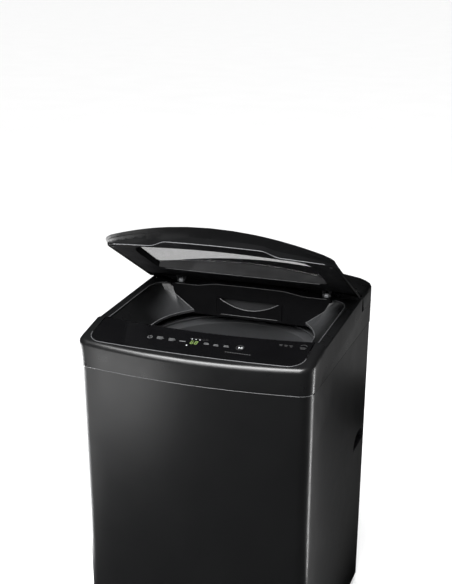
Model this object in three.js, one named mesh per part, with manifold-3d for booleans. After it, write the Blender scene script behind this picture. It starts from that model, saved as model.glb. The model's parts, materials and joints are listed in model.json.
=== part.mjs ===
// Top load washing machine with its lid held part open.
// Millimetres, +Z up, +Y to the rear. Origin on the floor, at the middle of the footprint.
import * as THREE from 'three';
import { mergeVertices } from 'three/addons/utils/BufferGeometryUtils.js';
import Module from 'manifold-3d';

const wasm = await Module();
wasm.setup();

// ---- driving dimensions -------------------------------------------------------------------------
const GAP = 0.4; // clearance between neighbouring parts
const HALF_WIDTH = 316; // half of the top cover's width
const REAR_Y = 318.4; // rear face of the top cover
const SIDE_FRONT_Y = -305.6; // where the flat side would meet the bowed front
const FRONT_BOW = 29.4; // how far the front bulges at its middle
const FRONT_CORNER = 38; // vertical corner radius at the front
const REAR_CORNER = 20; // vertical corner radius at the rear
const SHEET = 1.6; // steel sheet thickness with its inner coating
const COVER_INSET = 1.5; // the top cover overhangs the cabinet by this much
const BASE_Z = 22; // underside of the base frame
const BASE_TOP_Z = 74;
const CABINET_Z = 26; // lower edge of the steel cabinet
const SEAM_Z = 875; // top edge of the steel cabinet
const FLOOR_PLATE_Z = 935; // floor of the rear compartment in the top cover
const DECK_Z = 996; // shoulder height of the rear deck
const DECK_ARCH = 27.5;

const CONSOLE_EDGE_Z = 967.7; // console height at its rear edge on the centre line
const CONSOLE_EDGE_Y = -201.6;
const CONSOLE_SLOPE = 0.2234; // rise per millimetre towards the rear
const CONSOLE_HALF = 288; // half width of the loading opening and of the console glass
const CONSOLE_REAR_BOW = 18;

const HINGE_Y = 171.4; // lid hinge axis
const HINGE_Z = 979;
const HINGE_X = 219;
const LID_REST_ANGLE = 33; // degrees that the lid is open in the stored pose
const LID_HALF = 314;
const LID_CROWN = 32; // how much higher the lid is on the centre line
const SEAT_SLOPE = 0.05; // the lid seat falls towards the front

const AXIS_Y = -14; // vertical axis of tub, drum and pulsator
const MOUTH_R = 229; // round mouth in the top cover
const TUB_R = 284;
const DRUM_R = 258;
const ROD_X = 281; // suspension rods
const ROD_FRONT_Y = -258;
const ROD_REAR_Y = 262;
const FOOT_X = 262;
const FOOT_Y = 262;
const BAY_HALF = 98.5; // half width of the drawer bay
const DISPENSER_HALF = 241;
const DISPENSER_Y = 141.6; // front face of the dispenser
const HANDLE_Y = 232;
const HANDLE_Z = 530;

// ---- solids -------------------------------------------------------------------------------------
function solid(geometry) {
  const bare = geometry.clone();
  bare.deleteAttribute('normal');
  bare.deleteAttribute('uv');
  const merged = mergeVertices(bare, 1e-3);
  const triVerts = new Uint32Array(merged.index.array);
  const vertProperties = new Float32Array(merged.attributes.position.array);
  const made = new wasm.Manifold(new wasm.Mesh({ numProp: 3, vertProperties, triVerts }));
  if (made.volume() > 0) return made;
  for (let i = 0; i < triVerts.length; i += 3) {
    [triVerts[i + 1], triVerts[i + 2]] = [triVerts[i + 2], triVerts[i + 1]];
  }
  return new wasm.Manifold(new wasm.Mesh({ numProp: 3, vertProperties, triVerts }));
}

function join(...solids) {
  return solids.reduce((whole, piece) => whole.add(piece));
}

function cut(base, ...tools) {
  return tools.reduce((whole, tool) => whole.subtract(tool), base);
}

function geometryOf(made) {
  const mesh = made.getMesh();
  const geometry = new THREE.BufferGeometry();
  geometry.setAttribute('position', new THREE.BufferAttribute(new Float32Array(mesh.vertProperties), 3));
  geometry.setIndex(new THREE.BufferAttribute(new Uint32Array(mesh.triVerts), 1));
  geometry.computeVertexNormals();
  return geometry;
}

function box(x0, x1, y0, y1, z0, z1) {
  const geometry = new THREE.BoxGeometry(x1 - x0, y1 - y0, z1 - z0);
  return solid(geometry.translate((x0 + x1) / 2, (y0 + y1) / 2, (z0 + z1) / 2));
}

function extruded(points, depth, xAxis, yAxis, origin) {
  const shape = new THREE.Shape(points.map(([u, v]) => new THREE.Vector2(u, v)));
  const geometry = new THREE.ExtrudeGeometry(shape, { depth, bevelEnabled: false });
  const zAxis = new THREE.Vector3().crossVectors(xAxis, yAxis);
  const matrix = new THREE.Matrix4().makeBasis(xAxis, yAxis, zAxis).setPosition(origin);
  return geometry.applyMatrix4(matrix);
}

const X = new THREE.Vector3(1, 0, 0);
const Y = new THREE.Vector3(0, 1, 0);
const Z = new THREE.Vector3(0, 0, 1);

// A plan outline [x, y] raised from z0 to z1.
function raised(points, z0, z1) {
  return solid(extruded(points, z1 - z0, X, Y, new THREE.Vector3(0, 0, z0)));
}

// A side profile [y, z] drawn along X.
function alongX(points, x0, x1) {
  return solid(extruded(points, x1 - x0, Y, Z, new THREE.Vector3(x0, 0, 0)));
}

// Raises each point by slope times its y, plus height.
function leaned(geometry, slope, height) {
  const matrix = new THREE.Matrix4().set(1, 0, 0, 0, 0, 1, 0, 0, 0, slope, 1, height, 0, 0, 0, 1);
  return geometry.applyMatrix4(matrix);
}

// A front profile [x, z] drawn along Y.
function alongY(points, y0, y1) {
  return solid(extruded(points, y1 - y0, X, Z, new THREE.Vector3(0, y1, 0)));
}

// A profile [radius, z] turned about the vertical through (x, y).
function turned(profile, x, y, segments = 40) {
  const closed = [...profile, profile[0]].map(([r, z]) => new THREE.Vector2(r, z));
  const geometry = new THREE.LatheGeometry(closed, segments).rotateX(Math.PI / 2);
  return solid(geometry.translate(x, y, 0));
}

function cylinderZ(x, y, r, z0, z1, segments = 16) {
  const geometry = new THREE.CylinderGeometry(r, r, z1 - z0, segments).rotateX(Math.PI / 2);
  return solid(geometry.translate(x, y, (z0 + z1) / 2));
}

function cylinderX(y, z, r, x0, x1, segments = 16) {
  const geometry = new THREE.CylinderGeometry(r, r, x1 - x0, segments).rotateZ(Math.PI / 2);
  return solid(geometry.translate((x0 + x1) / 2, y, z));
}

function cylinderY(x, z, r, y0, y1, segments = 16) {
  return solid(new THREE.CylinderGeometry(r, r, y1 - y0, segments).translate(x, (y0 + y1) / 2, z));
}

// A shell whose cross-section runs through the loops in turn and closes on the first one.
function looped(loops) {
  const count = loops[0].length;
  const index = [];
  loops.forEach((loop, l) => {
    const here = l * count;
    const next = ((l + 1) % loops.length) * count;
    loop.forEach((point, k) => {
      const k2 = (k + 1) % count;
      index.push(here + k, here + k2, next + k2, here + k, next + k2, next + k);
    });
  });
  const geometry = new THREE.BufferGeometry();
  geometry.setAttribute('position', new THREE.Float32BufferAttribute(loops.flat(2), 3));
  geometry.setIndex(index);
  return solid(geometry);
}

// Completes a list of points for x >= 0, which starts and ends on x = 0, with its mirror image.
function mirrored(half) {
  const other = half.slice(1, -1).reverse();
  return [...half, ...other.map(([x, ...rest]) => [-x, ...rest])];
}

function moved(made, x, y, z) {
  return solid(geometryOf(made).translate(x, y, z));
}

// ---- outlines -----------------------------------------------------------------------------------
const bowRadius = (HALF_WIDTH ** 2 + FRONT_BOW ** 2) / (2 * FRONT_BOW);
const bowCentreY = SIDE_FRONT_Y - FRONT_BOW + bowRadius;
const frontCornerX = HALF_WIDTH - FRONT_CORNER;
const bowEnd = Math.asin(frontCornerX / (bowRadius - FRONT_CORNER));
const frontCornerY = bowCentreY - (bowRadius - FRONT_CORNER) * Math.cos(bowEnd);

// Plan outline of the machine, moved inwards by inset, with extra points at sideYs.
function outlineHalf(inset, sideYs = []) {
  const half = [];
  for (let i = 0; i <= 5; i += 1) {
    const a = (i / 5) * bowEnd;
    half.push([(bowRadius - inset) * Math.sin(a), bowCentreY - (bowRadius - inset) * Math.cos(a)]);
  }
  for (let i = 1; i <= 4; i += 1) {
    const a = bowEnd - Math.PI / 2 + (i / 4) * (Math.PI / 2 - bowEnd);
    const r = FRONT_CORNER - inset;
    half.push([frontCornerX + r * Math.cos(a), frontCornerY + r * Math.sin(a)]);
  }
  sideYs.forEach((y) => half.push([HALF_WIDTH - inset, y]));
  for (let i = 0; i <= 3; i += 1) {
    const a = (i / 6) * Math.PI;
    const r = Math.max(REAR_CORNER - inset, 1);
    const x = HALF_WIDTH - inset - r + r * Math.cos(a);
    half.push([x, REAR_Y - inset - r + r * Math.sin(a)]);
  }
  half.push([150, REAR_Y - inset], [0, REAR_Y - inset]);
  return half;
}

function outline(inset) {
  return mirrored(outlineHalf(inset));
}

function consoleZ(y) {
  return CONSOLE_EDGE_Z + CONSOLE_SLOPE * (y - CONSOLE_EDGE_Y);
}

function consoleRearY(x) {
  return CONSOLE_EDGE_Y + CONSOLE_REAR_BOW * (x / 290) ** 2;
}

function seatZ(y) {
  return HINGE_Z - SEAT_SLOPE * (HINGE_Y - y);
}

// ---- cabinet ------------------------------------------------------------------------------------
function makeCabinetShell() {
  const wall = cut(
    raised(outline(COVER_INSET), CABINET_Z, SEAM_Z),
    raised(outline(COVER_INSET + SHEET), CABINET_Z - 1, SEAM_Z + 1),
    box(-286, 286, 300, 330, 92, 848),
    handleOutline(1, 1, 3),
    handleOutline(-1, 1, 3),
  );
  const inside = outline(COVER_INSET + SHEET - 1);
  const corner = (sx, y0, y1) => box(sx > 0 ? 250 : -320, sx > 0 ? 320 : -250, y0, y1, 858, 862);
  const gussets = [];
  for (const sx of [-1, 1]) {
    gussets.push(corner(sx, -290, -230), corner(sx, 236, 290));
  }
  const trimmed = gussets.map((gusset) => gusset.intersect(raised(inside, 850, 870)));
  return cut(join(wall, ...trimmed), ...rodPlaces().map(([x, y]) => cylinderZ(x, y, 7, 850, 870, 12)));
}

function makeRearPanel() {
  const plate = box(-296, 296, 313.2, 314.9, 80, 860);
  const relief = box(-262, 262, 314.8, 317.8, 330, 820);
  const hollow = box(-260, 260, 311, 316.1, 332, 818);
  const grooves = [430, 575, 720].map((z) => box(-240, 240, 317.2, 319, z - 10, z + 10));
  return cut(
    cut(join(plate, relief), hollow, ...grooves),
    cylinderY(DRAIN_X, DRAIN_Z, 17, 300, 330),
    cylinderY(GLAND_X, GLAND_Z, 12, 300, 330),
  );
}

function makeBaseFrame() {
  const ring = cut(
    raised(outline(COVER_INSET + SHEET + GAP), BASE_Z, BASE_TOP_Z),
    raised(outline(36), BASE_Z + 6, BASE_TOP_Z + 1),
    box(-200, 200, -200, 200, BASE_Z - 1, BASE_Z + 7),
  );
  const bosses = footPlaces().map(([x, y]) => cylinderZ(x, y, 26, BASE_Z, 62));
  const bores = footPlaces().map(([x, y]) => cylinderZ(x, y, 7.2, BASE_Z - 1, BASE_TOP_Z + 1, 12));
  return cut(join(ring, ...bosses), ...bores);
}

function footPlaces() {
  return [
    [-FOOT_X, -FOOT_Y],
    [FOOT_X, -FOOT_Y],
    [-FOOT_X, FOOT_Y],
    [FOOT_X, FOOT_Y],
  ];
}

function makeFoot() {
  const profile = [[0, 0], [21, 0], [24, 3], [24, 8], [14, 13], [6, 13], [6, 66], [0, 66]];
  return turned(profile, 0, 0, 16);
}

// Crescent outline of a side carrying handle, on the side given by sign.
function handleOutline(sign, depth, grow) {
  const points = [];
  for (let i = 0; i <= 10; i += 1) {
    const a = (i / 10) * Math.PI;
    points.push([HANDLE_Y + (54 + grow) * Math.cos(a), HANDLE_Z - 10 + (34 + grow) * Math.sin(a)]);
  }
  points.push([HANDLE_Y - 54 - grow, HANDLE_Z - 18 - grow], [HANDLE_Y + 54 + grow, HANDLE_Z - 18 - grow]);
  const far = HALF_WIDTH - depth;
  return sign > 0 ? alongX(points, far - 12, HALF_WIDTH + 4) : alongX(points, -HALF_WIDTH - 4, 12 - far);
}

function makeHandle(sign) {
  const side = HALF_WIDTH - COVER_INSET;
  const cup = handleOutline(sign, 12, 2.5);
  const inner = handleOutline(sign, 9, -1);
  const outside = sign > 0 ? box(side, 330, 100, 300, 400, 700) : box(-330, -side, 100, 300, 400, 700);
  return cut(cup, inner, outside);
}

// ---- top cover ----------------------------------------------------------------------------------
const COVER_SIDE_YS = [-240, -187, -178, -110, -30, 50, 100, 130, 158, 188];
const COVER_STEP = 12; // stations up to this one lie on the console's plane

// The loading opening's edge: along the console, back along the seat, round the rear corner, then
// down the rear edge of the funnel to its round mouth.
function openingHalf() {
  const half = [];
  [0, 48, 96, 144, 192, 236, 262, 277, 285, 287.5].forEach((x) => {
    const y = consoleRearY(x);
    half.push([x, y, consoleZ(y)]);
  });
  half.push([288, -182.8, consoleZ(-182.8)], [288, -180.6, consoleZ(-180.6)]);
  [-177.4, -110, -30, 50].forEach((y) => half.push([288, y, seatZ(y)]));
  half.push([287.5, 98, 975.3], [281, 120, 976.4], [266, 135, 977.1], [250, 142, 977.5], [238, 143.5, 977.5]);
  half.push([240, 144, 967], [226, 144, 952], [203, 144, 936], [176, 144, 915], [0, 144, 915]);
  return half;
}

// The point of the round mouth that belongs to a point of the opening's edge.
function mouthPoint([x, y], k, count, radius, z) {
  const rear = Math.max(k - (count - 6), 0);
  const plain = Math.atan2(y - AXIS_Y, x);
  const a = rear > 0 && rear < 5 ? 0.588 + 0.04 * rear : plain;
  return [radius * Math.cos(a), AXIS_Y + radius * Math.sin(a), z];
}

// How far down the funnel has come after a share t of its way inwards.
function funnelFall(t) {
  return 1 - (1 - t) ** 1.25;
}

function makeCoverShell() {
  const outer = (inset) => outlineHalf(inset, COVER_SIDE_YS);
  const opening = openingHalf();
  const onConsole = (k) => k < COVER_STEP;
  const topZ = (k, y) => (onConsole(k) ? consoleZ(y) : seatZ(Math.min(y, 188)));
  const count = opening.length;
  const roundR = (k) => (onConsole(k) ? 16 : 4);
  const wallTop = (k) => topZ(k, outer(roundR(k))[k][1]);
  const edge = (turn) =>
    opening.map((point, k) => {
      const r = roundR(k);
      const a = (turn * Math.PI) / 180;
      const [x, y] = outer(r * (1 - Math.cos(a)))[k];
      return [x, y, wallTop(k) - r * (1 - Math.sin(a))];
    });
  const rim = (grow, drop) =>
    opening.map(([x, y, z]) => {
      const a = Math.atan2(y - AXIS_Y, x);
      return [x + grow * Math.cos(a), y + grow * Math.sin(a), z - drop];
    });
  const inset = (d, z) => outer(d).map(([x, y], k) => [x, y, z ?? wallTop(k) - 9]);
  const mouth = (r, z) => opening.map((point, k) => mouthPoint(point, k, count, r, z));
  const slope = (grow, t) => {
    const low = mouth(MOUTH_R + grow, 903);
    return rim(grow, 5).map(([x, y, z], k) => [
      x + (low[k][0] - x) * t,
      y + (low[k][1] - y) * t,
      z + (low[k][2] - z) * funnelFall(t),
    ]);
  };
  const loops = [
    inset(0, SEAM_Z + 1.2),
    edge(0),
    edge(25),
    edge(50),
    edge(72),
    edge(90),
    rim(2.5, 0),
    rim(0, 1.5),
    rim(-0.6, 5),
    slope(0, 0.3),
    slope(0, 0.65),
    mouth(MOUTH_R, 903),
    mouth(MOUTH_R, 897),
    mouth(MOUTH_R + 5, 897),
    slope(5, 0.62),
    rim(6, 11),
    inset(5),
    inset(4.6, SEAM_Z + 1.2),
  ];
  return looped(loops.map((half) => mirrored(half)));
}

function dispenserSpace() {
  const half = DISPENSER_HALF + GAP;
  return join(
    box(-half, half, DISPENSER_Y - GAP, 268.4, 880, FLOOR_PLATE_Z + 0.1),
    box(-half, half, DISPENSER_Y - GAP, 190, FLOOR_PLATE_Z - 1, 1010),
  );
}

function makeTopCover() {
  const floorPlate = box(-313, 313, 143, 316, FLOOR_PLATE_Z - 3.5, FLOOR_PLATE_Z);
  const hingePocket = box(-309, 309, HINGE_Y - 6, 330, FLOOR_PLATE_Z, 1010);
  const deckSeat = box(-330, 330, 189.7, 330, FLOOR_PLATE_Z, 1010);
  const nozzleHoles = VALVE_XS.map((x) => cylinderY(x, VALVE_Z, 14.5, 300, 330));
  const valvePocket = box(VALVE_XS[0] - 34, VALVE_XS[1] + 34, 270, 313, 880, FLOOR_PLATE_Z + 1);
  return cut(
    join(makeCoverShell(), floorPlate),
    hingePocket,
    deckSeat,
    dispenserSpace(),
    valvePocket,
    ...nozzleHoles,
    consolePlate(2.6, -4.2, 20),
  );
}

// Plan outline of the console glass, grown by grow.
function consoleOutline(grow) {
  const radius = 40 + grow;
  const side = CONSOLE_HALF - 3 + grow;
  const rearDrop = 5.4 - grow;
  const half = [0, 90, 180, 250].map((x) => [x, consoleRearY(x) - rearDrop]).reverse();
  half.unshift([side, consoleRearY(side) - rearDrop]);
  const cornerX = side - radius;
  const cornerY = -262;
  const corner = [];
  for (let i = 0; i <= 6; i += 1) {
    const a = -(i / 6) * (Math.PI / 2);
    corner.push([cornerX + radius * Math.cos(a), cornerY + radius * Math.sin(a)]);
  }
  const frontY = (x) => cornerY - radius - 7 * (1 - (x / cornerX) ** 2);
  const front = [160, 80, 0].map((x) => [x, frontY(x)]);
  const right = [...half.reverse(), ...corner, ...front];
  return mirrored(right);
}

// A plate that lies on the sloping console, from low to high above its surface.
function consolePlate(grow, low, high) {
  const geometry = extruded(consoleOutline(grow), high - low, X, Y, new THREE.Vector3(0, 0, low));
  return solid(onConsolePlane(geometry));
}

function onConsolePlane(geometry) {
  return leaned(geometry, CONSOLE_SLOPE, consoleZ(0));
}

function consoleBox(x0, x1, y0, y1, low, high) {
  const geometry = new THREE.BoxGeometry(x1 - x0, y1 - y0, high - low);
  return solid(onConsolePlane(geometry.translate((x0 + x1) / 2, (y0 + y1) / 2, (low + high) / 2)));
}

function makeConsolePanel() {
  return cut(consolePlate(0, -3.7, 0.4), consoleBox(-24, 24, -266, -236, -2.2, 3));
}

function makeConsoleTrim() {
  return cut(consolePlate(2.2, -3.7, 1), consolePlate(0.4, -6, 4));
}

function makeDisplayWindow() {
  return consoleBox(-23.6, 23.6, -265.6, -236.4, -1.8, 0.4);
}

function makeControlBoard() {
  const board = box(-140, 140, -318, -262, 905, 907);
  const parts = [
    box(-120, -70, -310, -280, 906.5, 925),
    box(-40, 0, -305, -275, 906.5, 915),
    box(30, 60, -312, -270, 906.5, 928),
    box(90, 126, -306, -276, 906.5, 918),
  ];
  return join(board, ...parts);
}

// ---- dispenser and drawer -----------------------------------------------------------------------
function dispenserTop() {
  const steps = [[236, 978], [170, 978], [152, 979], [112, 986], [94, 987.5], [0, 988]];
  const half = steps.reverse();
  return [...half.map(([x, z]) => [x, z]), [DISPENSER_HALF, 970], [DISPENSER_HALF, 934]];
}

function makeDispenserHousing() {
  const right = dispenserTop();
  const left = right.slice(1).reverse().map(([x, z]) => [-x, z]);
  const upper = alongY([...left, ...right], DISPENSER_Y, 182.4);
  const lower = box(-DISPENSER_HALF, DISPENSER_HALF, DISPENSER_Y, 268, 892.3, FLOOR_PLATE_Z - 0.4);
  const hollows = [];
  for (const sign of [-1, 1]) {
    const near = 104 * sign;
    const far = 236 * sign;
    hollows.push(box(Math.min(near, far), Math.max(near, far), 146, 264, 890, 931));
    const notch = HINGE_X * sign;
    hollows.push(box(notch - 15, notch + 15, 156, 190, FLOOR_PLATE_Z - 0.4, 1000));
  }
  const bay = join(
    box(-BAY_HALF, BAY_HALF, 130, 180, 898.2, 946.6),
    box(-BAY_HALF, BAY_HALF, 179, 262, 898.2, 931),
  );
  return cut(join(upper, lower), bay, ...hollows);
}

function makeDetergentDrawer() {
  const half = BAY_HALF - 1;
  const dip = [];
  for (let i = 0; i <= 10; i += 1) {
    const x = -88 + 17.6 * i;
    dip.push([x, 919 + 27 * (x / 88) ** 2]);
  }
  dip.push([88, 960], [-88, 960]);
  return cut(
    join(
      box(-half, half, DISPENSER_Y - 1.2, 178, 898.8, 946),
      box(-half, half, 177, 260.5, 898.8, 930),
    ),
    alongY(dip, DISPENSER_Y - 5, 146),
    box(-86, 86, 145, 161, 914, 960),
    box(-94.5, 10, 164.5, 257.5, 902, 960),
    box(13.5, 94.5, 164.5, 257.5, 902, 960),
  );
}

function makeSoftenerCap() {
  return join(box(14.2, 93.8, 205, 256.8, 925.4, 928), cylinderZ(54, 231, 9, 904, 926, 12));
}

// ---- rear deck ----------------------------------------------------------------------------------
// The deck's arched section, which falls by slope towards the rear and is level with itself at y.
function deckCrown(drop, slope, y) {
  const half = [];
  for (const x of [0, 60, 120, 175, 220, 255, 280]) {
    half.push([x, DECK_Z + DECK_ARCH * (1 - (x / 300) ** 2) - drop]);
  }
  half.push([297, DECK_Z - 2 - drop], [308, DECK_Z - 8 - drop], [314, DECK_Z - 18 - drop]);
  half.push([HALF_WIDTH + 1, DECK_Z - 32 - drop], [HALF_WIDTH + 1, 700]);
  const left = half.slice(1).reverse().map(([x, z]) => [-x, z]);
  return solid(leaned(extruded([...left, ...half], 250, X, Z, new THREE.Vector3(0, 330, 0)), -slope, slope * y));
}

function deckPlan(inset) {
  const outer = outlineHalf(inset).slice(10);
  const front = [];
  for (const x of [0, 70, 140, 200, 250, 290]) {
    front.push([x, lidRollRadius(x) + HINGE_Y + 4.5 + inset]);
  }
  front.push([HALF_WIDTH - inset, 190.2 + inset]);
  return mirrored([...front, ...outer]);
}

function makeRearDeck() {
  const body = (inset, z0) =>
    raised(deckPlan(inset), z0, 1040)
      .intersect(deckCrown(inset, 0.03, 300))
      .intersect(deckCrown(inset, 0.5, REAR_Y - 13))
      .intersect(deckCrown(inset, 2.4, REAR_Y - 6));
  return cut(body(0, 900), body(3.5, 890), box(-330, 330, 150, 330, 880, FLOOR_PLATE_Z + GAP));
}

// ---- lid ----------------------------------------------------------------------------------------
// The lid is drawn shut and then turned open about its hinge.
function crown(x) {
  return 1 - Math.min(Math.abs(x) / LID_HALF, 1) ** 2;
}

function lidTopZ(x, y) {
  return 975 + 0.041 * (y + 191.6) + LID_CROWN * crown(x);
}

function lidRollRadius(x) {
  return lidTopZ(x, HINGE_Y) - HINGE_Z;
}

// How far the grip's hollow is formed at x, from 0 outside it to 1 in the middle.
function gripShare(x) {
  const t = Math.min(Math.max((182 - Math.abs(x)) / 54, 0), 1);
  return t * t * (3 - 2 * t);
}

function lidBottomZ(y) {
  return seatZ(y) + 1.2;
}

const LID_FRONT_XS = [0, 60, 112, 134, 150, 166, 184, 215, 245, 270, 288];
const LID_SIDE_YS = [-140, -60, 20, 100, 160];
const LID_REAR_XS = [303, 270, 215, 150, 75, 0];

// One loop of the lid from its front middle to its rear middle. Height 0 is the skirt's lower edge
// and 1 the top edge; inset draws the loop towards the window.
function lidLoop(height, inset, drop) {
  const lean = height ** 2.2;
  const half = [];
  const front = (x, bottomY, topY) => {
    const share = gripShare(x);
    const low = lidBottomZ(bottomY) + 10 * share;
    const high = 975 + LID_CROWN * crown(x);
    const y = bottomY + (topY - bottomY) * lean + inset;
    const rise = Math.min(inset, 12) * 0.12;
    half.push([x, y, low + (high - low) * height + rise - drop]);
  };
  LID_FRONT_XS.forEach((x) => {
    front(x, -165.6 - 33 * crown(x) - 11 * gripShare(x) ** 2, -191.6 - 54 * crown(x));
  });
  const corner = (turn) => {
    const a = (turn * Math.PI) / 180;
    const x = 296 - inset * 0.6 + 18 * Math.sin(a);
    front(x, -163.5 + 18 * (1 - Math.cos(a)), -192 + 26 * (1 - Math.cos(a)));
  };
  corner(30);
  corner(65);
  LID_SIDE_YS.forEach((y) => {
    const low = lidBottomZ(y);
    const high = lidTopZ(LID_HALF, y) - 1.5;
    const tuck = 2.5 * height ** 3 + inset;
    half.push([LID_HALF - tuck, y, low + (high - low) * height + Math.min(inset, 12) * 0.15 - drop]);
  });
  LID_REAR_XS.forEach((x) => {
    const angle = ((38 + 40 * height) * Math.PI) / 180;
    const r = lidRollRadius(x) - drop;
    const y = HINGE_Y + r * Math.cos(angle) - inset;
    const crownX = Math.max(x - inset * 0.4, 0);
    half.push([x === 0 ? 0 : crownX, y, HINGE_Z + r * Math.sin(angle) + Math.min(inset, 12) * 0.1]);
  });
  return half;
}

const WINDOW_HALF = 248;
const WINDOW_REAR_Y = 51.4;

// Window outline matched point by point to lidLoop.
function windowHalf(grow) {
  const half = [];
  const frontY = (x) => -149 - 34 * crown(x) ** 2 - grow;
  const xs = [0, 52, 98, 118, 134, 150, 168, 190, 208, 222, 232];
  xs.forEach((x, i) => half.push([x, frontY(x) + (i > 8 ? (i - 8) * 4 : 0)]));
  half.push([242 + grow, -126], [246.5 + grow, -112]);
  [-100, -60, -10, 25, 40].forEach((y) => half.push([WINDOW_HALF + grow, y]));
  const rear = WINDOW_REAR_Y + grow;
  half.push([WINDOW_HALF - 4 + grow, rear - 3], [235, rear], [180, rear], [125, rear], [62, rear], [0, rear]);
  return half;
}

function windowLoop(grow, drop) {
  return windowHalf(grow).map(([x, y]) => [x, y, lidTopZ(x, y) - drop]);
}

function makeLidFrame() {
  const loops = [
    lidLoop(0, 0, 0),
    lidLoop(0.45, 0, 0),
    lidLoop(0.86, 0, 0),
    lidLoop(1, 2.2, 0),
    lidLoop(1, 14, 0),
    windowLoop(3, 0),
    windowLoop(3, 4.5),
    lidLoop(1, 14, 4.2),
    lidLoop(0.86, 4.2, 3.4),
    lidLoop(0.4, 3.6, 1),
    lidLoop(0, 3.2, 0),
  ];
  return looped(loops.map((half) => mirrored(half)));
}

// The lowest and highest y of a chain of points at x.
function spanAt(points, x) {
  const ys = [];
  points.slice(1).forEach(([x1, y1], i) => {
    const [x0, y0] = points[i];
    if (x < Math.min(x0, x1) || x > Math.max(x0, x1)) return;
    if (x0 === x1) ys.push(y0, y1);
    else ys.push(y0 + ((y1 - y0) * (x - x0)) / (x1 - x0));
  });
  return [Math.min(...ys), Math.max(...ys)];
}

// A sheet over the window outline, as columns along x.
function makeLidGlass() {
  const half = windowHalf(3 - GAP);
  const xs = [...new Set(half.map(([x]) => x))].sort((a, b) => a - b);
  const columns = xs.map((x) => [x, ...spanAt(half, x)]);
  const all = [...columns.slice(1).reverse().map(([x, a, b]) => [-x, a, b]), ...columns];
  const layer = (share, drop) => all.map(([x, a, b]) => {
    const y = a + (b - a) * share;
    return [x, y, lidTopZ(x, y) - drop];
  });
  const rows = [layer(0, 0.3), layer(0.5, 0.3), layer(1, 0.3), layer(1, 4.3), layer(0.5, 4.3), layer(0, 4.3)];
  const count = all.length;
  const index = [];
  rows.forEach((row, r) => {
    const next = (r + 1) % rows.length;
    for (let k = 0; k < count - 1; k += 1) {
      const a = r * count + k;
      const b = next * count + k;
      index.push(a, a + 1, b + 1, a, b + 1, b);
    }
  });
  for (const k of [0, count - 1]) {
    for (let r = 1; r < rows.length - 1; r += 1) {
      const fan = [k, r * count + k, (r + 1) * count + k];
      if (k > 0) fan.reverse();
      index.push(...fan);
    }
  }
  const geometry = new THREE.BufferGeometry();
  geometry.setAttribute('position', new THREE.Float32BufferAttribute(rows.flat(2), 3));
  geometry.setIndex(index);
  return solid(geometry);
}

// The lid's underside: a tray round the window with an upright lip behind the glass edge.
function makeLidInnerFrame() {
  const outer = (rise, inset) => {
    const half = lidLoop(0, 5 + inset, 0).map(([x, y, z]) => [x, y, z + rise]);
    const first = half.length - LID_REAR_XS.length;
    LID_REAR_XS.forEach((x, i) => {
      half[first + i] = [Math.min(x, 300 - inset), 122 - inset * 0.3, lidBottomZ(122) + rise];
    });
    half[first - 1] = [LID_HALF - 5 - inset, 112, lidBottomZ(112) + rise];
    half[first - 2] = [LID_HALF - 5 - inset, 70, lidBottomZ(70) + rise];
    return half;
  };
  const inner = (grow, level) =>
    windowHalf(grow).map(([x, y]) => [x, y, level === 'top' ? lidTopZ(x, y) - 5.2 : lidBottomZ(y) + level]);
  const loops = [
    outer(1.2, 0.4),
    inner(3, 3),
    inner(0, 3.6),
    inner(0, 'top'),
    inner(2.8, 'top'),
    inner(2.8, 6.6),
    outer(3.8, 0.4),
  ];
  return looped(loops.map((half) => mirrored(half)));
}

function makeLidHinge(sign) {
  const centre = sign * HINGE_X;
  const plateZ = lidTopZ(HINGE_X + 12, 150) - 8;
  const cheek = [];
  for (let i = 0; i <= 8; i += 1) {
    const a = Math.PI + (i / 8) * Math.PI;
    cheek.push([HINGE_Y + 8 * Math.cos(a), HINGE_Z + 8 * Math.sin(a)]);
  }
  cheek.push([HINGE_Y + 8, plateZ], [HINGE_Y - 32, plateZ], [HINGE_Y - 32, plateZ - 10]);
  return join(
    alongX(cheek, centre - 10, centre - 7),
    alongX(cheek, centre + 7, centre + 10),
    box(centre - 10, centre + 10, HINGE_Y - 44, HINGE_Y + 6, plateZ - 2.4, plateZ),
    cylinderX(HINGE_Y, HINGE_Z, 3.5, centre - 12, centre + 12, 12),
  );
}

function makeHingeBracket(sign) {
  const centre = sign * HINGE_X;
  const tongue = [[HINGE_Y - 7, FLOOR_PLATE_Z + 1], [HINGE_Y + 7, FLOOR_PLATE_Z + 1]];
  for (let i = 0; i <= 8; i += 1) {
    const a = (i / 8) * Math.PI;
    tongue.push([HINGE_Y + 7 * Math.cos(a), HINGE_Z + 7 * Math.sin(a)]);
  }
  return cut(
    join(
      alongX(tongue, centre - 5.5, centre + 5.5),
      box(centre - 13, centre + 13, HINGE_Y - 13, HINGE_Y + 16, FLOOR_PLATE_Z, FLOOR_PLATE_Z + 3),
    ),
    cylinderX(HINGE_Y, HINGE_Z, 4, centre - 20, centre + 20, 12),
  );
}

function makeLidBumper(sign) {
  const z = lidBottomZ(-150);
  return cylinderZ(sign * 299, -148, 4.5, z - 0.6, z + 0.9, 12);
}

// ---- tub, drum and drive ------------------------------------------------------------------------
function rodPlaces() {
  return [
    [-ROD_X, ROD_FRONT_Y],
    [ROD_X, ROD_FRONT_Y],
    [-ROD_X, ROD_REAR_Y],
    [ROD_X, ROD_REAR_Y],
  ];
}

function makeSuspensionRod() {
  const profile = [[0, 206], [20, 206], [20, 210], [4, 212], [4, 862.6], [9, 862.6], [9, 871], [0, 871]];
  return turned(profile, 0, 0, 12);
}

function makeDamperCup() {
  const profile = [[6, 296], [6, 299.4], [24, 299.4], [26, 296], [26, 192], [23, 192], [23, 296]];
  return turned(profile, 0, 0, 16);
}

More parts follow.
